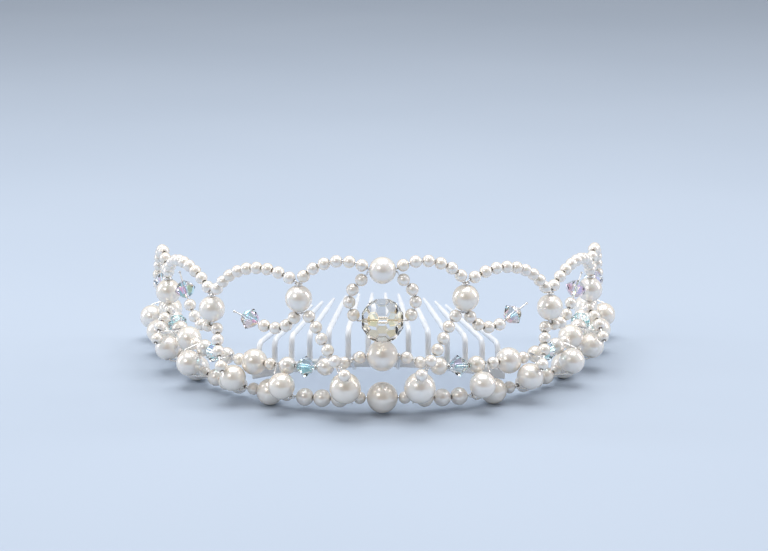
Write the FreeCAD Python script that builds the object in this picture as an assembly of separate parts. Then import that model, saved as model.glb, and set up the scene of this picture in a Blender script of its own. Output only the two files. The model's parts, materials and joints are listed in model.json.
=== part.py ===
import FreeCAD, Part
import math
import os

V = FreeCAD.Vector

# Bridal tiara: pearls and cut crystals threaded on silver wire, wired to a plastic hair comb.
# Millimetres, +Z up, front of the band towards -Y. Built round the plan centre of the band's arc,
# then moved so that the origin is the centre of the bounding box's base.

# Bead sizes (diameters)
SMALL = 2.8
MEDIUM = 4.0
PEAK = 6.0
LARGE = 7.0
BALL_APOTHEM = 4.7
BALL_HALF_LENGTH = 4.55
BICONE_HALF_LENGTH = 2.25
BEAD_GAP = 0.07

# Wires and holes (radii)
WIRE = 0.20
FINE_WIRE = 0.18
HOLE = 0.42
PEAK_HOLE = 0.60
RUNNING_HOLE = 0.28
BEND = 0.40

# Band: a circular arc in plan with straight tails
BAND_RADIUS = 51.5
ARC_HALF = 70.0
RAIL_SET = -2.5
UPPER_RAIL = 8.9
UPPER_SWELL = 2.0
UPPER_REACH = 28.0
CENTRE_RISE = 2.6
RISE_AT = 8.0
RISE_SOFTNESS = 0.9
LOWER_RAIL = 3.0
LOWER_SWELL = 0.9
LOWER_REACH = 11.0
UPPER_JOINT = 0.95
LOWER_JOINT = 1.0
LASH_GAP = 0.45
LASH_AFTER = {-1: (1, 3), 1: (0, 3)}
HOOK = 0.42
KNOT_RADIUS = 0.76
STOP_RADIUS = 0.34
CROSS_FRONT = 4.1
CROSS_FRONT_LARGE = 4.3
CROSS_INSET = [1.1, 1.0, 1.6, 0.0, 0.0, 0.0, 0.0]
TIE_GAP = 0.90
TIE_INSET = 0.28

# Comb
COMB_RADIUS = BAND_RADIUS + RAIL_SET - 4.2
COMB_TURN = -1.03
SPINE_THICK = 1.4
SPINE_TALL = 2.4
SPINE_CROWN = 11.0
SPINE_DROP = 6.3
TEETH = 14
TOOTH_PITCH = 4.5
TOOTH_RADIUS = 0.65
TIP_RADIUS = 0.38
SHOULDER = 18.6
SHOULDER_DROP = 7.0
TOOTH_BEND = 2.0
TOOTH_REACH = 36.0
TOOTH_TAPER = 11.0
TOOTH_SLOPE = 0.05
TOOTH_FAN = 0.36

# Unrolled layout of one side: s along the band from its centre, z up, n in front of the band
CROWN_PEARL = 33.7
BALL_HEIGHT = 22.35
CENTRE_UPPER = 13.5
CENTRE_LOWER = 3.9
PEAKS = [(18.8, 26.5), (43.4, 20.4), (70.0, 18.2)]
ARCHES = [
    (6, [(4.5, 34.8, 0), (8.8, 35.6, 0), (13.2, 34.7, 0), (17.6, 31.7, 0)]),
    (9, [(21.0, 31.0, 0), (26.8, 32.4, 0), (33.6, 31.2, 0), (41.4, 25.5, 0)]),
    (10, [(44.8, 25.3, 0), (50.6, 28.2, 0), (58.6, 28.6, 0), (68.5, 23.5, 0)]),
    (9, [(71.9, 23.3, 0), (77.6, 26.4, 0), (85.0, 23.0, 0), (90.2, 14.6, 0)]),
]
STRANDS = [
    (6, [(16.3, 22.7, 0), (13.4, 18.6, 1.5), (10.8, 15.0, 3.1), (8.2, 11.8, 4.7)]),
    (4, [(41.6, 16.1, 0), (40.0, 14.1, 1.5), (38.3, 12.0, 2.9), (36.6, 10.0, 4.1)]),
    (4, [(68.1, 14.1, 0), (66.1, 12.9, 1.8), (64.0, 11.4, 3.4), (61.9, 9.9, 4.6)]),
]
TENDRILS = [
    (4, [(20.0, 22.1, 0), (21.9, 19.9, 0), (24.5, 19.1, 0), (27.5, 19.3, 0)]),
    (4, [(45.1, 16.1, 0), (48.0, 15.5, 0), (50.6, 17.1, 0), (52.7, 19.3, 0)]),
    (3, [(71.7, 13.8, 0), (74.5, 13.3, 0), (76.9, 15.3, 0)]),
]
TENDRIL_RISE = {-1: [14.0, 52.0, 52.0], 1: [26.0, 44.0, 52.0]}
TIP_LENGTH = 4.2
TIP_GAP = 0.35
LOOP = (4, [(4.5, 31.4, 0), (6.9, 29.0, 0), (7.3, 26.2, 0), (6.35, 23.55, 0)])

SIDES = {"left": -1, "right": 1}
nodes = {}


def put(name, shape):
    """Add one solid to a named node."""
    nodes.setdefault(name, []).append(shape)


def band(s, z, n=0.0):
    """Point at arc length s along the band, height z, n in front of its mid surface."""
    angle = min(abs(s), ARC_HALF) / BAND_RADIUS
    tail = max(abs(s) - ARC_HALF, 0.0)
    x = (BAND_RADIUS + n) * math.sin(angle) + tail * math.cos(angle)
    y = -(BAND_RADIUS + n) * math.cos(angle) + tail * math.sin(angle)
    return V(math.copysign(x, s), y, z)


def outward(s):
    """Unit vector out of the band's face at arc length s."""
    return (band(s, 0, 1) - band(s, 0, 0)).normalize()


def upper_height(s):
    """Height of the upper rail wire: highest behind the two centre pearls."""
    swell = UPPER_SWELL * math.exp(-(s / UPPER_REACH) ** 2)
    return UPPER_RAIL + swell + CENTRE_RISE / (1 + math.exp((abs(s) - RISE_AT) / RISE_SOFTNESS))


def lower_height(s):
    """Height of the lower rail wire: its outer peak-size pearls touch the table."""
    return LOWER_RAIL + LOWER_SWELL * math.exp(-(s / LOWER_REACH) ** 2)


def rail_point(s, height):
    """Point of a rail wire, set back a little from the crown above it."""
    return band(s, height(s), RAIL_SET)


def spaced(run, side):
    """Bead centres at equal pitch along a smooth curve through the run's control points."""
    count, controls = run
    curve = Part.BSplineCurve()
    curve.interpolate([V(*c) for c in controls])
    return [band(side * p.x, p.y, p.z) for p in curve.discretize(Number=count)]


def beads(centres, diameter):
    """Stops of one bead size for a threaded wire."""
    return [(c, diameter / 2) for c in centres]


def corner(point):
    """A bare corner of the wire, with no bead on it."""
    return (point, 0)


def thread(stops):
    """Mouth points of every stop; beads that touch share the corner between them."""
    mouths = []
    for i, (centre, radius) in enumerate(stops):
        before = stops[max(i - 1, 0)][0]
        after = stops[min(i + 1, len(stops) - 1)][0]
        reach = (after - before).normalize() * (radius + 0.05)
        mouths.append([centre - reach, centre + reach] if radius else [centre])
    for previous, current in zip(mouths, mouths[1:]):
        near = previous[-1].distanceToPoint(current[0]) < 1.2
        if near and len(previous) == 2 and len(current) == 2:
            shared = (previous[-1] + current[0]) * 0.5
            previous[-1] = shared
            current[0] = shared
    return mouths


def corners_of(mouths):
    """The wire's corner points in order, each shared one once."""
    points = []
    for mouth in mouths:
        for point in mouth:
            if not points or point.distanceToPoint(points[-1]) > 1e-6:
                points.append(point)
    return points


def bent(points, radius, bend=BEND):
    """Round wire of straight runs joined by tangent bends at the given corners."""
    edges = []
    start = points[0]
    for before, here, after in zip(points, points[1:], points[2:]):
        back = before - here
        ahead = after - here
        trim = min(bend, 0.45 * back.Length, 0.45 * ahead.Length)
        half = back.getAngle(ahead) / 2
        if half > math.pi / 2 - 0.008:
            continue
        back.normalize()
        ahead.normalize()
        first = here + back * trim
        last = here + ahead * trim
        inward = (back + ahead).normalize()
        middle = here + inward * (trim / math.cos(half) - trim * math.tan(half))
        edges.append(Part.LineSegment(start, first).toShape())
        edges.append(Part.Arc(first, middle, last).toShape())
        start = last
    edges.append(Part.LineSegment(start, points[-1]).toShape())
    ring = Part.Wire(Part.makeCircle(radius, points[0], points[1] - points[0]))
    return Part.Wire(edges).makePipeShell([ring], True, False)


def drilled_pearl(diameter, hole):
    """Round pearl about the origin with a straight hole along X."""
    radius = diameter / 2
    half = math.sqrt(radius ** 2 - hole ** 2)
    skin = Part.Arc(V(-half, hole, 0), V(0, radius, 0), V(half, hole, 0)).toShape()
    wall = Part.LineSegment(V(half, hole, 0), V(-half, hole, 0)).toShape()
    return Part.Face(Part.Wire([skin, wall])).revolve(V(0, 0, 0), V(1, 0, 0), 360)


def placed(shape, centre, axis):
    """Copy of a bead made along X, moved to a centre and turned to an axis."""
    copy = shape.copy()
    copy.Placement = FreeCAD.Placement(centre, FreeCAD.Rotation(V(1, 0, 0), axis))
    return copy


def pearl(diameter, centre, mouth, hole=HOLE):
    """Pearl on the straight run of wire between its two mouths, level with its centre."""
    axis = (mouth[1] - mouth[0]).normalize()
    middle = mouth[0] + axis * (centre - mouth[0]).dot(axis)
    return placed(drilled_pearl(diameter, hole), middle, axis)


def gem(rows, radius, half_length, hole):
    """Faceted bead drilled along X; a row is (latitude, facets, turn in facets, apothem)."""
    body = Part.makeCylinder(radius, 2 * half_length, V(-half_length, 0, 0), V(1, 0, 0))
    for latitude, count, turn, apothem in rows:
        lift = math.radians(latitude)
        for k in range(count):
            a = 2 * math.pi * (k + turn) / count
            normal = V(math.sin(lift), math.cos(lift) * math.cos(a), math.cos(lift) * math.sin(a))
            slab = Part.makeBox(24, 24, 12, V(-12, -12, apothem))
            slab.Placement = FreeCAD.Placement(V(), FreeCAD.Rotation(V(0, 0, 1), normal))
            body = body.cut(slab)
    return body.cut(Part.makeCylinder(hole, 4 * half_length, V(-2 * half_length, 0, 0), V(1, 0, 0)))


def bicone(hole):
    """Double-cone crystal: a main row of facets and a short end row on each half."""
    rows = [(lat, 8, 0, 1.92) for lat in (33, -33)] + [(lat, 8, 0.5, 1.98) for lat in (56, -56)]
    return gem(rows, 2.6, BICONE_HALF_LENGTH, hole)


def put_beads(name, stops, mouths, diameter):
    """Add a pearl to a node for every stop of the given size."""
    for (centre, radius), mouth in zip(stops, mouths):
        if abs(radius - diameter / 2) < 1e-6:
            put(name, pearl(diameter, centre, mouth))


def peak_corners(index, side, inner):
    """Straight run of one of the two wires down through a peak pearl."""
    s, z = PEAKS[index]
    middle = band(side * s, z)
    along = (band(side * (s + 0.1), z) - band(side * (s - 0.1), z)).normalize()
    middle = middle + along * (-0.24 if inner else 0.24)
    return [corner(middle + V(0, 0, 3.55)), corner(middle - V(0, 0, 3.5 if inner else 3.05))]


RAIL_BICONE = bicone(HOLE)
TIP_BICONE = bicone(RUNNING_HOLE)


# Rails: bead runs outwards from the centre, cell by cell, with a joint after each cell
def rail_side(cells, joint, lashed, height, side):
    """Stops and joint positions of one side of a rail; a cell lists bead lengths along the wire."""
    stops = []
    joints = []
    lash_after = LASH_AFTER[side] if lashed else ()
    stretch = BAND_RADIUS / (BAND_RADIUS + RAIL_SET)
    edge = LARGE / 2 + BEAD_GAP + (LASH_GAP if 0 in lash_after else 0)
    for cell in cells:
        for kind in cell:
            length = {"s": SMALL, "M": MEDIUM, "P": PEAK, "b": 2 * BICONE_HALF_LENGTH}[kind]
            middle = edge + BEAD_GAP + length / 2
            edge = middle + length / 2
            s = side * middle * stretch
            stops.append((kind, s, rail_point(s, height), length / 2))
            if len(stops) in lash_after:
                edge += LASH_GAP
        joints.append(side * (edge + joint / 2) * stretch)
        edge += joint
    return stops, joints


UPPER_CELLS = ["ss", "MbM", "sPs", "MbM", "sPs", "MbM", "sPs"]
LOWER_CELLS = ["s", "MMM", "sPs", "MMM", "sPs", "MMM", "sPs"]


def build_rail(name, cells, joint, lashed, height, centre_z):
    """One rail: pearls and crystals of both sides on a single wire; returns the joint points."""
    halves = {}
    joint_s = {}
    for label, side in SIDES.items():
        halves[side], joint_s[side] = rail_side(cells, joint, lashed, height, side)
    ends = {side: rail_point(joint_s[side][-1] + side * 0.5, height) for side in (-1, 1)}
    run = [("end", 0, ends[-1], 0)]
    run += list(reversed(halves[-1]))
    run += [("L", 0, band(0, centre_z, RAIL_SET), LARGE / 2)]
    run += halves[1]
    run += [("end", 0, ends[1], 0)]
    stops = [(centre, radius) for kind, s, centre, radius in run]
    mouths = thread(stops)
    put("wire_%s_rail" % name, bent(corners_of(mouths), WIRE))
    for (kind, s, centre, radius), mouth in zip(run, mouths):
        label = "left" if s < 0 else "right"
        if kind == "L":
            put("pearl_centre_%s" % name, pearl(LARGE, centre, mouth))
        elif kind == "b":
            middle = (mouth[0] + mouth[1]) * 0.5
            put("crystals_%s_rail_%s" % (name, label), placed(RAIL_BICONE, middle, mouth[1] - mouth[0]))
        elif kind in "sMP":
            size = {"s": SMALL, "M": MEDIUM, "P": PEAK}[kind]
            put("pearls_%s_rail_%s" % (name, label), pearl(size, centre, mouth))
    points = {}
    for side in (-1, 1):
        for s in joint_s[side][:-1]:
            wanted = rail_point(s, height)
            points[s] = min(corners_of(mouths), key=lambda p: p.distanceToPoint(wanted))
        points[joint_s[side][-1]] = rail_point(joint_s[side][-1], height)
    return points, mouths


upper_points, upper_mouths = build_rail(
    "upper", UPPER_CELLS, UPPER_JOINT, True, upper_height, CENTRE_UPPER)
lower_points, lower_mouths = build_rail(
    "lower", LOWER_CELLS, LOWER_JOINT, False, lower_height, CENTRE_LOWER)


# Cross pearls between the rails, each on a wire hooked over both rail wires
for label, side in SIDES.items():
    tops = sorted([(abs(s), s) for s in upper_points if s * side > 0])
    feet = sorted([(abs(s), s) for s in lower_points if s * side > 0])
    for index, ((a, top_s), (b, foot_s)) in enumerate(zip(tops, feet)):
        top = upper_points[top_s]
        foot = lower_points[foot_s]
        size, front = (LARGE, CROSS_FRONT_LARGE) if index == 0 else (PEAK, CROSS_FRONT)
        lean = (top - foot).normalize()
        middle_s = (top_s + foot_s) / 2
        middle = (top + foot) * 0.5 + outward(middle_s) * front
        along_band = (band(middle_s + side * 0.1, 0) - band(middle_s, 0)).normalize()
        middle = middle - along_band * CROSS_INSET[index]
        mouth = [middle - lean * (size / 2 + 0.3), middle + lean * (size / 2 + 0.3)]
        up = V(0, 0, HOOK)
        over = outward(top_s) * HOOK
        under = outward(foot_s) * HOOK
        path = [top - over, top - over + up, top + over + up, mouth[1]]
        path += [mouth[0], foot + under - up, foot - under - up, foot - under]
        put("wires_cross", bent(path, FINE_WIRE, 0.35))
        put("pearls_cross_%s" % label, pearl(size, middle, mouth))


# Crown: central arches, centre loop, and on each side the outer arches, strands and tendrils
def strand_run(index, side):
    """Strand stops: the last bead stands a tie's width away, and the wire is cut off below it."""
    centres = spaced(STRANDS[index], side)
    along = (centres[-1] - centres[-2]).normalize()
    centres[-1] = centres[-1] + along * TIE_GAP
    return beads(centres, SMALL) + [corner(centres[-1] + along * (SMALL / 2 + 0.35))]


def tie(index, side, held, along):
    """Short wire from an upper joint to the strand's wire, just above its last bead."""
    held = held + along.normalize() * TIE_INSET
    s = sorted([s for s in upper_points if s * side > 0], key=abs)[2 * index]
    anchor = upper_points[s] + outward(s) * 0.3 + V(0, 0, 0.85)
    reach = (held - anchor).normalize()
    beside = reach.cross(along).normalize() * 0.44
    return bent([anchor, held + beside + reach * 0.10], FINE_WIRE)


crown = V(0, -BAND_RADIUS, CROWN_PEARL)
halves = {}
for label, side in SIDES.items():
    arch = beads(spaced(ARCHES[0], side), SMALL)
    strand = strand_run(0, side)
    run = [corner(crown + V(side * 3.2, 0, 0.24))] + arch + peak_corners(0, side, True)
    run += strand
    mouths = thread(run)
    halves[side] = corners_of(mouths)
    put_beads("pearls_arch_1_%s" % label, run[:7], mouths[:7], SMALL)
    put_beads("pearls_strand_1_%s" % label, run[7:], mouths[7:], SMALL)
    put("wire_bindings", tie(0, side, mouths[-2][0], run[-2][0] - run[-3][0]))
put("wire_centre_arches", bent(list(reversed(halves[-1])) + halves[1], WIRE))

put("pearl_crown", pearl(PEAK, crown, [crown - V(3, 0, 0), crown + V(3, 0, 0)], PEAK_HOLE))

ball_centre = V(0, -BAND_RADIUS, BALL_HEIGHT)
ball_rows = [(0, 10, 0, BALL_APOTHEM)]
ball_rows += [(lat, 10, 0.5, BALL_APOTHEM) for lat in (29, -29)]
ball_rows += [(lat, 10, 0, BALL_APOTHEM) for lat in (56, -56)]
ball = gem(ball_rows, 5.6, BALL_HALF_LENGTH, RUNNING_HOLE)
put("crystal_centre", placed(ball, ball_centre, V(1, 0, 0)))

loop_run = [corner(crown + V(0.06, 0, -0.24)), corner(crown + V(3.2, 0, -0.24))]
loop_run += beads(spaced(LOOP, 1), SMALL)
loop_run += [corner(ball_centre + V(BALL_HALF_LENGTH + 0.42, 0, 0))]
loop_left = [(V(-p.x, p.y, p.z), r) for p, r in reversed(loop_run)]
loop_stops = loop_run + loop_left
loop_mouths = thread(loop_stops)
put("wire_loop", bent(corners_of(loop_mouths), WIRE))
put_beads("pearls_loop_right", loop_stops[:7], loop_mouths[:7], SMALL)
put_beads("pearls_loop_left", loop_stops[7:], loop_mouths[7:], SMALL)

tips = {}
for label, side in SIDES.items():
    for index, (s, z) in enumerate(PEAKS):
        number = index + 1
        middle = band(side * s, z)
        drill = [middle - V(0, 0, 3), middle + V(0, 0, 3)]
        put("pearl_peak_%d_%s" % (number, label), pearl(PEAK, middle, drill, PEAK_HOLE))
        knot = Part.makeTorus(KNOT_RADIUS, FINE_WIRE, middle + V(0, 0, 3.27), V(0, 0, 1))
        put("wire_bindings", knot)

        # Tendril: pearls, then a crystal free to turn on the straight wire end
        chain = spaced(TENDRILS[index], side)
        last = TENDRILS[index][1][-1]
        rise = math.radians(TENDRIL_RISE[side][index])
        ahead = band(side * (last[0] + 4 * math.cos(rise)), last[1] + 4 * math.sin(rise))
        course = (ahead - chain[-1]).normalize()
        gem_centre = chain[-1] + course * (SMALL / 2 + BICONE_HALF_LENGTH + TIP_GAP)
        tip = gem_centre + course * TIP_LENGTH
        put("crystal_tendril_%d_%s" % (number, label), placed(TIP_BICONE, gem_centre, course))
        tips[(label, number)] = (gem_centre, course)

        run = [corner(tip), corner(gem_centre - course * (BICONE_HALF_LENGTH + 0.15))]
        run += list(reversed(beads(chain, SMALL)))
        straight = len(run)
        up = list(reversed(peak_corners(index, side, False)))
        run += up + beads(spaced(ARCHES[index + 1], side), SMALL)
        arch_end = len(run)
        if index < 2:
            run += peak_corners(index + 1, side, True)
            run += strand_run(index + 1, side)
        else:
            end_s = max(abs(j) for j in upper_points)
            run += [corner(band(side * end_s, upper_height(end_s) + 0.85, RAIL_SET))]
        mouths = thread(run)
        stop = Part.makeSphere(STOP_RADIUS, tip + course * 0.15, course, -90, 90, 360)
        wire = bent(corners_of(mouths), WIRE).fuse(stop)
        put("wire_side_%d_%s" % (number, label), wire)
        put_beads("pearls_tendril_%d_%s" % (number, label), run[:straight], mouths[:straight], SMALL)
        put_beads("pearls_arch_%d_%s" % (number + 1, label),
                  run[straight:arch_end], mouths[straight:arch_end], SMALL)
        if index < 2:
            put_beads("pearls_strand_%d_%s" % (number + 1, label),
                      run[arch_end:], mouths[arch_end:], SMALL)
            put("wire_bindings", tie(index + 1, side, mouths[-2][0], run[-2][0] - run[-3][0]))


# Comb: arched spine with teeth that rise, bend back and fan slightly together
half_angle = (TEETH / 2) * TOOTH_PITCH / COMB_RADIUS
half_width = COMB_RADIUS * math.sin(half_angle)


def spine_height(x):
    """Mid height of the comb's spine: a circular arch in front view."""
    radius = (half_width ** 2 + SPINE_DROP ** 2) / (2 * SPINE_DROP)
    return SPINE_CROWN - radius + math.sqrt(radius ** 2 - x ** 2)


def arch_edge(lift):
    """Front-view arc of the spine, raised by lift."""
    points = [V(x, -60, spine_height(x) + lift) for x in (-half_width, 0, half_width)]
    return Part.Arc(*points).toShape()


ring = Part.makeCylinder(COMB_RADIUS + SPINE_THICK / 2, 20)
ring = ring.cut(Part.makeCylinder(COMB_RADIUS - SPINE_THICK / 2, 20))
top_edge = arch_edge(SPINE_TALL / 2)
foot_edge = arch_edge(-SPINE_TALL / 2)
sides = [Part.LineSegment(top_edge.Vertexes[k].Point, foot_edge.Vertexes[k].Point).toShape()
         for k in (0, 1)]
outline = Part.Wire([top_edge, sides[1], foot_edge, sides[0]])
comb = ring.common(Part.Face(outline).extrude(V(0, 60, 0)))
comb = comb.makeFillet(0.35, comb.Edges)

for k in range(TEETH):
    theta = (k - (TEETH - 1) / 2) * TOOTH_PITCH / COMB_RADIUS
    root = V(COMB_RADIUS * math.sin(theta), -COMB_RADIUS * math.cos(theta), 0)
    level = SHOULDER - SHOULDER_DROP * (root.x / half_width) ** 2
    fan = TOOTH_FAN * theta
    back = V(-math.sin(fan), math.cos(fan), -TOOTH_SLOPE).normalize()
    bottom = V(root.x, root.y, spine_height(root.x))
    shoulder = V(root.x, root.y, level)
    taper = shoulder + back * (TOOTH_REACH - TOOTH_TAPER)
    tooth = bent([bottom, shoulder, taper], TOOTH_RADIUS, TOOTH_BEND)
    point = Part.makeCone(TOOTH_RADIUS, TIP_RADIUS, TOOTH_TAPER, taper, back)
    dome = Part.makeSphere(TIP_RADIUS, taper + back * TOOTH_TAPER, back, 0, 90, 360)
    comb = comb.fuse([tooth, point, dome])
comb.rotate(V(0, 0, 0), V(0, 0, 1), COMB_TURN)
put("comb", comb)


# Lashings: one closed wire loop round a rail gap and the comb's spine
def lashing(anchor):
    """Closed loop in the upright plane through the rail point and the plan centre."""
    flat = V(anchor.x, anchor.y, 0)
    inward = (flat * -1).normalize()
    turn = math.radians(COMB_TURN)
    spine = flat + inward * (flat.Length - COMB_RADIUS)
    local_x = spine.x * math.cos(turn) + spine.y * math.sin(turn)
    centre = V(spine.x, spine.y, spine_height(local_x))
    ahead = centre - anchor
    distance = ahead.Length
    ahead.normalize()
    across = ahead.cross(inward.cross(V(0, 0, 1))).normalize()
    small = 0.45
    big = math.hypot(SPINE_THICK, SPINE_TALL) / 2 + 0.28
    beta = math.acos((small - big) / distance)
    touch = []
    for middle, radius in ((anchor, small), (centre, big)):
        for sign in (1, -1):
            offset = ahead * math.cos(beta) + across * sign * math.sin(beta)
            touch.append(middle + offset * radius)
    edges = [
        Part.LineSegment(touch[1], touch[3]).toShape(),
        Part.Arc(touch[3], centre + ahead * big, touch[2]).toShape(),
        Part.LineSegment(touch[2], touch[0]).toShape(),
        Part.Arc(touch[0], anchor - ahead * small, touch[1]).toShape(),
    ]
    ring = Part.Wire(Part.makeCircle(FINE_WIRE, touch[1], touch[3] - touch[1]))
    return Part.Wire(edges).makePipeShell([ring], True, False)


for side in (-1, 1):
    for count in LASH_AFTER[side]:
        mouth = upper_mouths[len(upper_mouths) // 2 + side * count]
        put("wire_bindings", lashing(mouth[1] if side > 0 else mouth[0]))


# Move everything so that the origin is the centre of the bounding box's base, then export
everything = Part.Compound([solid for shapes in nodes.values() for solid in shapes])
box = everything.optimalBoundingBox(False, False)
shift = V(-box.Center.x, -box.Center.y, -box.ZMin)
os.makedirs("parts", exist_ok=True)
for name, shapes in nodes.items():
    group = Part.Compound(shapes) if len(shapes) > 1 else shapes[0]
    group.translate(shift)
    group.exportStep("parts/%s.step" % name)

print("origin shift", shift)
print("ball axis point", ball_centre + shift)
for key, (point, course) in tips.items():
    print("tip hinge", key, point + shift, course)
print("size", box.XLength, box.YLength, box.ZLength)
print("nodes", len(nodes), "solids", sum(len(s) for s in nodes.values()))
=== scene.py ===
import json
import math

import bmesh
import bpy
import numpy as np
from mathutils import Matrix, Vector


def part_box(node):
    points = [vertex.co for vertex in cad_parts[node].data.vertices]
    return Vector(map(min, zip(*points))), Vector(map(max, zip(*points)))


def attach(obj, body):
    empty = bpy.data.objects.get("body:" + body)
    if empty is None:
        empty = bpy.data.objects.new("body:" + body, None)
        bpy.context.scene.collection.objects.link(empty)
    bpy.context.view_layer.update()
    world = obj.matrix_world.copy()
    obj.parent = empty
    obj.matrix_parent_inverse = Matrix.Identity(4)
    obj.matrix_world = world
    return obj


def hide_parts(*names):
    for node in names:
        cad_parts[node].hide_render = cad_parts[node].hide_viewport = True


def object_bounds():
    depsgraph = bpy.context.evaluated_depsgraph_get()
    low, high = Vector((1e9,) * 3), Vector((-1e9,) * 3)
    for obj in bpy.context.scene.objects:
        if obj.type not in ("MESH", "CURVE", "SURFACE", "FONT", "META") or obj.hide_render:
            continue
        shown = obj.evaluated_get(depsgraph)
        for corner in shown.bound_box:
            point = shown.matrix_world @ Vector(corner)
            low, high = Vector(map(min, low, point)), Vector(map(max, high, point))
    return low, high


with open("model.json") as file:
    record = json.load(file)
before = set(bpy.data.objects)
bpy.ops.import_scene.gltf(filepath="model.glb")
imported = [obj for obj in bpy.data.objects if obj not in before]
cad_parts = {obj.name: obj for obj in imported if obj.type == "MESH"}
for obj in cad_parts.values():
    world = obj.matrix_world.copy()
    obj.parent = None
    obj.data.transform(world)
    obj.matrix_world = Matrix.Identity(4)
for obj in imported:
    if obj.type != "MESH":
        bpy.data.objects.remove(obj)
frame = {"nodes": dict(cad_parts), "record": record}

# Bridal tiara: smooth drilled pearls, cut crystals, wound silver wire and a moulded comb.
# Every bead is placed from the CAD node that it stands for. Metres throughout.

cad_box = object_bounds()
low_corner = Vector(cad_box[0])
high_corner = Vector(cad_box[1])

MM = 0.001
TIARA = "tiara"

# Camera: seen from slightly above and almost straight in front
FOCAL_PIXELS = 2029
FRAME_WIDTH = 768
SENSOR = 36
CAMERA_AZIMUTH = -1.0
CAMERA_ELEVATION = 14.7
CAMERA_DISTANCE = 450 * MM
CAMERA_RISE = 31.5 * MM
CAMERA_SHIFT = 1.5 / FRAME_WIDTH

# Corners closer than this are one corner
WELD = 0.002 * MM

# Pearls: the rounded lip of the hole, as (in along the hole, out from its wall) in lip widths,
# how far the darkening round a hole mouth reaches in lip widths, and the steps of big and small pearls
LIP = 0.11 * MM
LIP_PROFILE = [(0.02, 0.55), (0.35, 0.18), (1.0, 0.0)]
MOUTH_REACH = 3.2
BIG_PEARL = 2.5 * MM
SKIN_STEPS = 26
ROUND_STEPS = 30
BIG_SKIN_STEPS = 40
BIG_ROUND_STEPS = 52

# Steps between one bead's tone or one facet's painted flash colour and the next, so that neighbours differ
TONE_STEP = 0.618034
TONE_DRIFT = (37, 53)
FACET_STEP = 0.754878
FACET_START = 0.31

# Crystals
FLAT_ANGLE = math.radians(2)
SHARP_ANGLE = math.radians(14)
SHORTEST_ARRIS = 0.4 * MM
ARRIS = 0.045 * MM

# Studio: half the floor's width, direction of the dark side, and the strength of the rest
FLOOR_HALF = 3.0
DARK_SIDE = (0.0, -0.97, 0.25)
WORLD_STRENGTH = 0.62

# Wound wire: how far each extra turn swings out, as a share of the wire's thickness
TURN_SPREAD = 0.6
FINE_WIRE = 0.36 * MM


# Meshes
def solids(node):
    """The separate solids of a CAD node, in their order, each as one bmesh."""
    whole = bmesh.new()
    whole.from_mesh(frame["nodes"][node].data)
    bmesh.ops.remove_doubles(whole, verts=whole.verts, dist=WELD)
    whole.faces.ensure_lookup_table()
    for face in whole.faces:
        face.tag = False
    found = []
    for seed in whole.faces:
        if seed.tag:
            continue
        seed.tag = True
        stack = [seed]
        group = []
        while stack:
            face = stack.pop()
            group.append(face)
            for edge in face.edges:
                for other in edge.link_faces:
                    if not other.tag:
                        other.tag = True
                        stack.append(other)
        found.append(part_of(group))
    whole.free()
    return found


def part_of(group):
    """A new bmesh holding copies of these faces."""
    part = bmesh.new()
    copies = {}
    for face in sorted(group, key=lambda f: f.index):
        for vert in face.verts:
            if vert not in copies:
                copies[vert] = part.verts.new(vert.co)
        part.faces.new([copies[vert] for vert in face.verts])
    part.normal_update()
    return part


def sphere_through(part):
    """Centre and radius of the sphere that the solid's corners lie on."""
    points = np.array([vert.co for vert in part.verts])
    middle = points.mean(0)
    local = (points - middle) / MM
    rows = np.hstack([2 * local, np.ones((len(local), 1))])
    answer = np.linalg.lstsq(rows, (local ** 2).sum(1), rcond=None)[0]
    radius = math.sqrt(answer[3] + answer[:3] @ answer[:3])
    return Vector(middle + answer[:3] * MM), radius * MM


def hole_through(part, centre):
    """Direction and radius of the hole, from the faces that look at its axis."""
    spread = np.zeros((3, 3))
    wall = []
    for face in part.faces:
        if (face.calc_center_median() - centre).dot(face.normal) < 0:
            normal = np.array(face.normal)
            spread += np.outer(normal, normal) * face.calc_area()
            wall.append(face)
    axis = Vector(np.linalg.eigh(spread)[1][:, 0]).normalized()
    corners = [vert.co - centre for face in wall for vert in face.verts]
    return axis, min((corner - axis * corner.dot(axis)).length for corner in corners)


def pearl_section(radius, hole, steps):
    """Closed half section of a drilled pearl, as (along the hole, out from it)."""
    opening = math.asin((hole + LIP) / radius)
    section = []
    for k in range(steps + 1):
        turn = opening + (math.pi - 2 * opening) * k / steps
        section.append((-radius * math.cos(turn), radius * math.sin(turn)))
    mouth = radius * math.cos(opening)
    rim = [(mouth - deep * LIP, hole + wide * LIP) for deep, wide in LIP_PROFILE]
    return section + rim + [(-along, out) for along, out in reversed(rim)]


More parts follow.
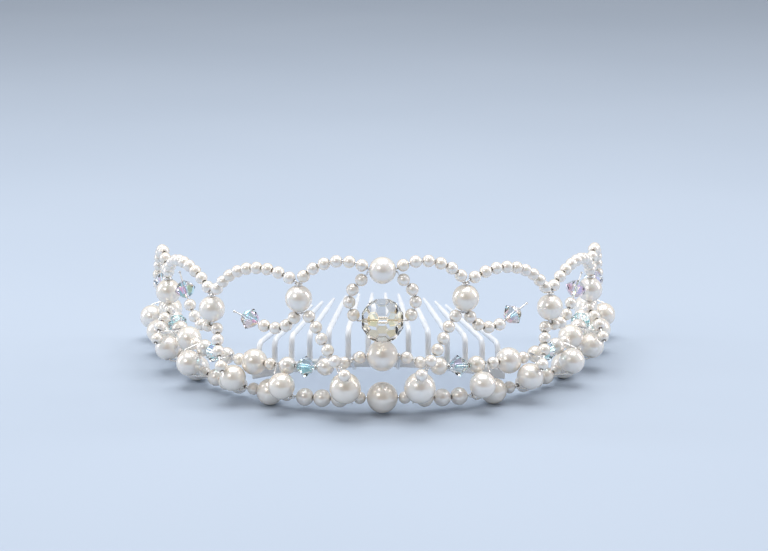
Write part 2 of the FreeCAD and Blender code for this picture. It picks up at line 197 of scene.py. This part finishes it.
def pearl_mesh(beads):
    """One mesh of many drilled pearls, with a tone for each and a darkening factor near the hole mouths."""
    corners = []
    faces = []
    tones = []
    mouths = []
    for count, (centre, axis, radius, hole) in enumerate(beads):
        big = radius > BIG_PEARL
        around = BIG_ROUND_STEPS if big else ROUND_STEPS
        section = pearl_section(radius, hole, BIG_SKIN_STEPS if big else SKIN_STEPS)
        turn = Vector((1, 0, 0)).rotation_difference(axis).to_matrix()
        base = len(corners)
        for along, out in section:
            for k in range(around):
                angle = 2 * math.pi * k / around
                spot = Vector((along, out * math.cos(angle), out * math.sin(angle)))
                corners.append(centre + turn @ spot)
            mouths += [max(0.0, 1 - (out - hole) / (MOUTH_REACH * LIP))] * around
        rows = len(section)
        for i in range(rows):
            for k in range(around):
                here = base + i * around
                there = base + (i + 1) % rows * around
                after = (k + 1) % around
                faces.append((here + k, here + after, there + after, there + k))
        tone = (count * TONE_STEP + centre.x * TONE_DRIFT[0] + centre.z * TONE_DRIFT[1]) % 1.0
        tones += [tone] * (rows * around)
    mesh = bpy.data.meshes.new("pearls")
    mesh.from_pydata(corners, [], faces)
    for name, values in (("tone", tones), ("mouth", mouths)):
        mesh.attributes.new(name, "FLOAT", "POINT").data.foreach_set("value", values)
    mesh.shade_smooth()
    mesh.update()
    return mesh


def add_piece(name, mesh, material, body, slot, *nodes):
    """Link a finished mesh as a piece that stands for CAD nodes and rides on a body."""
    mesh.materials.clear()
    mesh.materials.append(material)
    piece = bpy.data.objects.new(name, mesh)
    bpy.context.scene.collection.objects.link(piece)
    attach(piece, body)
    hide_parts(*nodes)
    return piece


def crystal_mesh(node):
    """The CAD crystals with whole facets, fine polished arrises and a number on each facet that picks its
    painted flash colour.
    """
    whole = bmesh.new()
    for part in solids(node):
        bmesh.ops.dissolve_limit(part, angle_limit=FLAT_ANGLE, verts=part.verts, edges=part.edges)
        arrises = [edge for edge in part.edges
                   if len(edge.link_faces) == 2 and edge.calc_face_angle(0) > SHARP_ANGLE
                   and edge.calc_length() > SHORTEST_ARRIS and edge.is_convex]
        bmesh.ops.bevel(part, geom=arrises, offset=ARRIS, segments=1, affect="EDGES", clamp_overlap=True)
        copied = bpy.data.meshes.new("crystal")
        part.to_mesh(copied)
        whole.from_mesh(copied)
        bpy.data.meshes.remove(copied)
        part.free()
    mesh = bpy.data.meshes.new(node)
    whole.to_mesh(mesh)
    whole.free()
    # a number per facet that picks which painted flash colour it is tinted with
    shade = [(k * FACET_STEP + FACET_START) % 1.0 for k in range(len(mesh.polygons))]
    mesh.attributes.new("facet", "FLOAT", "FACE").data.foreach_set("value", shade)
    mesh.shade_flat()
    return mesh


def wound_mesh(node):
    """The CAD ties as they are, and each closed loop as three crossing turns of the same wire."""
    whole = bmesh.new()
    for part in solids(node):
        points = np.array([vert.co for vert in part.verts])
        middle = Vector(points.mean(0))
        directions = np.linalg.eigh(np.cov(points.T))[1]
        lengthwise = Vector(directions[:, 2])
        half_width = np.abs((points - points.mean(0)) @ directions[:, 1]).max()
        swing = TURN_SPREAD * FINE_WIRE / half_width
        loop = len(part.verts) - len(part.edges) + len(part.faces) == 0
        for angle in ((-swing, 0, swing) if loop else (0,)):
            turn = bpy.data.meshes.new("turn")
            part.to_mesh(turn)
            turn.transform(Matrix.Translation(middle) @ Matrix.Rotation(angle, 4, lengthwise) @
                           Matrix.Translation(-middle))
            whole.from_mesh(turn)
            bpy.data.meshes.remove(turn)
        part.free()
    mesh = bpy.data.meshes.new(node)
    whole.to_mesh(mesh)
    whole.free()
    mesh.shade_smooth()
    return mesh


# Materials
class Nodes:
    """A material's node tree, with a short call for each kind of node used here."""

    def __init__(self, name):
        self.material = bpy.data.materials.new(name)
        self.material.use_nodes = True
        self.tree = self.material.node_tree
        self.shader = self.tree.nodes["Principled BSDF"]
        self.output = self.tree.nodes["Material Output"]

    def link(self, source, target):
        self.tree.links.new(source, target)

    def add(self, kind, **values):
        node = self.tree.nodes.new(kind)
        for key, value in values.items():
            setattr(node, key, value)
        return node

    def set(self, **values):
        for key, value in values.items():
            self.shader.inputs[key.replace("_", " ")].default_value = value

    def attribute(self, name):
        return self.add("ShaderNodeAttribute", attribute_name=name).outputs["Fac"]

    def place(self):
        return self.add("ShaderNodeTexCoord").outputs["Object"]

    def noise(self, scale, detail=3.0, roughness=0.5):
        node = self.add("ShaderNodeTexNoise")
        node.inputs["Scale"].default_value = scale
        node.inputs["Detail"].default_value = detail
        node.inputs["Roughness"].default_value = roughness
        self.link(self.place(), node.inputs["Vector"])
        return node.outputs["Fac"]

    def facing(self, blend):
        node = self.add("ShaderNodeLayerWeight")
        node.inputs["Blend"].default_value = blend
        return node.outputs["Facing"]

    def ramp(self, factor, stops):
        node = self.add("ShaderNodeValToRGB")
        band = node.color_ramp
        while len(band.elements) < len(stops):
            band.elements.new(0.5)
        for element, (position, colour) in zip(band.elements, stops):
            element.position = position
            element.color = (*colour, 1)
        self.link(factor, node.inputs["Fac"])
        return node.outputs["Color"]

    def mix(self, factor, first, second, blend="MIX"):
        node = self.add("ShaderNodeMix", data_type="RGBA", blend_type=blend)
        if isinstance(factor, (int, float)):
            node.inputs["Factor"].default_value = factor
        else:
            self.link(factor, node.inputs["Factor"])
        for socket, value in ((node.inputs[6], first), (node.inputs[7], second)):
            if isinstance(value, tuple):
                socket.default_value = (*value, 1)
            else:
                self.link(value, socket)
        return node.outputs[2]

    def scaled(self, factor, low, high):
        node = self.add("ShaderNodeMapRange")
        node.inputs["To Min"].default_value = low
        node.inputs["To Max"].default_value = high
        self.link(factor, node.inputs["Value"])
        return node.outputs["Result"]

    def bump(self, height, strength, distance):
        node = self.add("ShaderNodeBump")
        node.inputs["Strength"].default_value = strength
        node.inputs["Distance"].default_value = distance
        self.link(height, node.inputs["Height"])
        self.link(node.outputs["Normal"], self.shader.inputs["Normal"])

    def colour(self, source, socket="Base Color"):
        self.link(source, self.shader.inputs[socket])


def nacre():
    """Imitation pearl: glossy cream nacre, warmer towards the rim, darker at the hole mouths."""
    n = Nodes("nacre")
    body = n.ramp(n.attribute("tone"), [
        (0.0, (0.98, 0.925, 0.83)), (0.5, (0.985, 0.95, 0.885)), (1.0, (0.98, 0.96, 0.92))])
    cloud = n.mix(n.scaled(n.noise(900, 3), 0.0, 0.35), body, (0.96, 0.90, 0.88))
    rim = n.ramp(n.facing(0.35), [
        (0.0, (1, 1, 1)), (0.5, (0.98, 0.955, 0.91)), (0.8, (0.95, 0.91, 0.80)), (1.0, (0.93, 0.88, 0.88))])
    tinted = n.mix(1.0, cloud, rim, "MULTIPLY")
    # darker towards the hole mouths, mixed toward brownish grey
    n.colour(n.mix(n.scaled(n.attribute("mouth"), 0.0, 0.35), tinted, (0.60, 0.55, 0.48)))
    n.link(n.scaled(n.noise(1400, 2), 0.20, 0.27), n.shader.inputs["Roughness"])
    n.bump(n.noise(2200, 2, 0.4), 0.04, 0.02 * MM)
    n.set(Metallic=0.36, Subsurface_Weight=0.10, Subsurface_Scale=0.0009, IOR=1.53,
          Coat_Weight=0.9, Coat_Roughness=0.04, Coat_IOR=1.65, Thin_Film_Thickness=330, Thin_Film_IOR=1.45)
    n.shader.inputs["Subsurface Radius"].default_value = (1.0, 0.75, 0.55)
    return n.material


def cut_crystal(name, flashes):
    """Clear cut glass: a third of the facets clear, the rest tinted through the given flashes, which are
    painted flashes of light.
    """
    n = Nodes(name)
    step = 0.60 / len(flashes)
    stops = [(0.0, CLEAR), (0.32, CLEAR)]
    stops += [(0.42 + step * k, flash) for k, flash in enumerate(flashes)]
    # facet tints are painted light: coloured flashes standing in for glints and fire in the glass
    tint = n.ramp(n.attribute("facet"), stops)
    n.colour(n.mix(n.facing(0.4), tint, CLEAR))
    n.link(n.scaled(n.noise(1500, 2), 0.0, 0.02), n.shader.inputs["Roughness"])
    n.set(Transmission_Weight=1.0, IOR=1.52, Coat_Weight=0.4, Coat_Roughness=0.02)
    return n.material


def silver_wire():
    """Silver-plated craft wire: bright, faintly drawn along its length, a little tarnished in patches."""
    n = Nodes("silver_wire")
    patches = n.noise(700, 4, 0.6)
    n.colour(n.ramp(patches, [
        (0.3, (0.70, 0.68, 0.65)), (0.5, (0.84, 0.83, 0.82)), (0.75, (0.92, 0.92, 0.92))]))
    n.link(n.scaled(patches, 0.34, 0.16), n.shader.inputs["Roughness"])
    n.bump(n.noise(9000, 2), 0.15, 0.01 * MM)
    n.set(Metallic=1.0)
    return n.material


def comb_plastic():
    """Milky translucent moulded plastic with faint flow marks."""
    n = Nodes("comb_plastic")
    flow = n.noise(240, 3)
    n.colour(n.ramp(flow, [(0.3, (0.72, 0.76, 0.82)), (0.7, (0.84, 0.86, 0.89))]))
    n.link(n.scaled(n.noise(1800, 3), 0.16, 0.30), n.shader.inputs["Roughness"])
    n.bump(flow, 0.2, 0.03 * MM)
    n.set(Subsurface_Weight=0.35, Subsurface_Scale=0.0008, IOR=1.49, Coat_Weight=0.3)
    n.shader.inputs["Subsurface Radius"].default_value = (1.0, 1.0, 1.0)
    return n.material


def floor_material():
    """Plain pale blue matt surface."""
    n = Nodes("floor")
    n.colour(n.ramp(n.noise(6, 2), [(0.3, (0.43, 0.50, 0.60)), (0.7, (0.45, 0.52, 0.62))]))
    n.set(Roughness=0.75, Specular_IOR_Level=0.2)
    return n.material


# Pieces
NACRE = nacre()
SILVER = silver_wire()
PLASTIC = comb_plastic()
CLEAR = (1.0, 1.0, 1.0)
# colours of the flashes of light painted onto crystal facets
YELLOW = (1.0, 0.80, 0.24)
ORANGE = (1.0, 0.62, 0.22)
VIOLET = (0.74, 0.62, 0.98)
ROSE = (0.96, 0.36, 0.70)
TURQUOISE = (0.24, 0.88, 0.92)
CENTRE_CRYSTAL = cut_crystal("crystal_centre_painted_flashes", [YELLOW, CLEAR, ORANGE, CLEAR])
TIP_CRYSTAL = cut_crystal("crystal_tip_painted_flashes", [VIOLET, YELLOW, ROSE, TURQUOISE])
RAIL_CRYSTAL = cut_crystal("crystal_rail_painted_flashes", [VIOLET, TURQUOISE, CLEAR, TURQUOISE])


def build_pearls():
    """Replace every pearl node by smooth drilled pearls in the same places."""
    for node in sorted(frame["nodes"]):
        if not node.startswith("pearl"):
            continue
        beads = []
        for part in solids(node):
            centre, radius = sphere_through(part)
            axis, hole = hole_through(part, centre)
            beads.append((centre, axis, radius, hole))
            part.free()
        add_piece("nacre_" + node, pearl_mesh(beads), NACRE, TIARA, "pearl", node)


def body_of(node):
    """The CAD body that a node rides on."""
    groups = frame["record"]["behaviour"]["bodies"]
    return next(body for body, members in groups.items() if node in members)


def build_crystals():
    """Replace every crystal node by the same cut shape with polished arrises."""
    for node in sorted(frame["nodes"]):
        if not node.startswith("crystal"):
            continue
        if node == "crystal_centre":
            material = CENTRE_CRYSTAL
        elif "rail" in node:
            material = RAIL_CRYSTAL
        else:
            material = TIP_CRYSTAL
        add_piece("cut_" + node, crystal_mesh(node), material, body_of(node), "crystal", node)


def build_bindings():
    """Replace the single CAD loops by wound turns of wire."""
    add_piece("wound_wire_bindings", wound_mesh("wire_bindings"), SILVER, TIARA, "wire", "wire_bindings")


def finish_nodes():
    """Give the other CAD wires and the comb, whose shapes are right, their finished materials."""
    for name, node in frame["nodes"].items():
        if name == "comb" or (name.startswith("wire") and name != "wire_bindings"):
            material = PLASTIC if name == "comb" else SILVER
            if not node.material_slots:
                node.data.materials.append(material)
            for slot in node.material_slots:
                slot.material = material


# Stage
def build_floor():
    """A large plain floor at the object's base."""
    half = FLOOR_HALF
    mesh = bpy.data.meshes.new("floor")
    corners = [(-half, -half, 0), (half, -half, 0), (half, half, 0), (-half, half, 0)]
    mesh.from_pydata(corners, [], [(0, 1, 2, 3)])
    mesh.materials.append(floor_material())
    floor = bpy.data.objects.new("floor", mesh)
    bpy.context.scene.collection.objects.link(floor)


def area_light(name, place, target, size, power, colour=(1, 1, 1)):
    """A soft rectangular light aimed at a point."""
    lamp = bpy.data.lights.new(name, "AREA")
    lamp.shape = "RECTANGLE"
    lamp.size, lamp.size_y = size
    lamp.energy = power
    lamp.color = colour
    light = bpy.data.objects.new(name, lamp)
    aim = Vector(target) - Vector(place)
    light.rotation_euler = aim.to_track_quat("-Z", "Y").to_euler()
    light.location = place
    bpy.context.scene.collection.objects.link(light)


def build_lights():
    """A wide top light, a soft front fill and two side strips for the crystals."""
    middle = (low_corner + high_corner) / 2
    area_light("top", middle + Vector((0.0, 0.06, 0.60)), middle, (0.55, 0.45), 3.4)
    area_light("front", middle + Vector((-0.45, -0.60, 0.50)), middle, (0.35, 0.25), 0.8, (1.0, 0.97, 0.93))
    area_light("left", middle + Vector((-0.55, 0.10, 0.22)), middle, (0.12, 0.40), 0.8, (0.93, 0.96, 1.0))
    area_light("right", middle + Vector((0.55, 0.05, 0.26)), middle, (0.12, 0.40), 0.8, (1.0, 0.96, 0.93))
    build_world()


def build_world():
    """A pale studio that darkens to a warm brown in front, which the pearls mirror at their middles."""
    world = bpy.data.worlds.new("studio")
    world.use_nodes = True
    tree = world.node_tree
    place = tree.nodes.new("ShaderNodeTexCoord")
    towards = tree.nodes.new("ShaderNodeVectorMath")
    towards.operation = "DOT_PRODUCT"
    towards.inputs[1].default_value = DARK_SIDE
    tree.links.new(place.outputs["Generated"], towards.inputs[0])
    ramp = tree.nodes.new("ShaderNodeValToRGB")
    ramp.color_ramp.elements[0].position = 0.62
    ramp.color_ramp.elements[0].color = (0.90, 0.92, 0.96, 1)
    ramp.color_ramp.elements[1].position = 0.97
    ramp.color_ramp.elements[1].color = (0.40, 0.28, 0.16, 1)
    tree.links.new(towards.outputs["Value"], ramp.inputs["Fac"])
    background = tree.nodes["Background"]
    tree.links.new(ramp.outputs["Color"], background.inputs["Color"])
    background.inputs["Strength"].default_value = WORLD_STRENGTH
    bpy.context.scene.world = world


def build_camera():
    """Camera at the viewing angle, aimed above the foot of the band's front."""
    azimuth = math.radians(CAMERA_AZIMUTH)
    elevation = math.radians(CAMERA_ELEVATION)
    level = math.cos(elevation)
    ahead = Vector((-math.sin(azimuth) * level, math.cos(azimuth) * level, -math.sin(elevation)))
    right = ahead.cross(Vector((0, 0, 1))).normalized()
    up = right.cross(ahead)
    front = Vector((0, front_of_band(), 0))
    lens = bpy.data.cameras.new("camera")
    lens.sensor_width = SENSOR
    lens.lens = SENSOR * FOCAL_PIXELS / FRAME_WIDTH
    lens.shift_x = CAMERA_SHIFT
    lens.clip_start = 0.01
    camera = bpy.data.objects.new("camera", lens)
    camera.matrix_world = Matrix.Translation(front + up * CAMERA_RISE - ahead * CAMERA_DISTANCE) @ \
        Matrix((right, up, -ahead)).transposed().to_4x4()
    bpy.context.scene.collection.objects.link(camera)
    bpy.context.scene.camera = camera


def front_of_band():
    """Depth of the crown pearl's centre, which lies in the band's mid surface."""
    low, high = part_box("pearl_crown")
    return (low.y + high.y) / 2


bpy.context.scene.view_settings.view_transform = "Standard"
build_camera()
build_pearls()
build_crystals()
build_bindings()
finish_nodes()
build_floor()
build_lights()
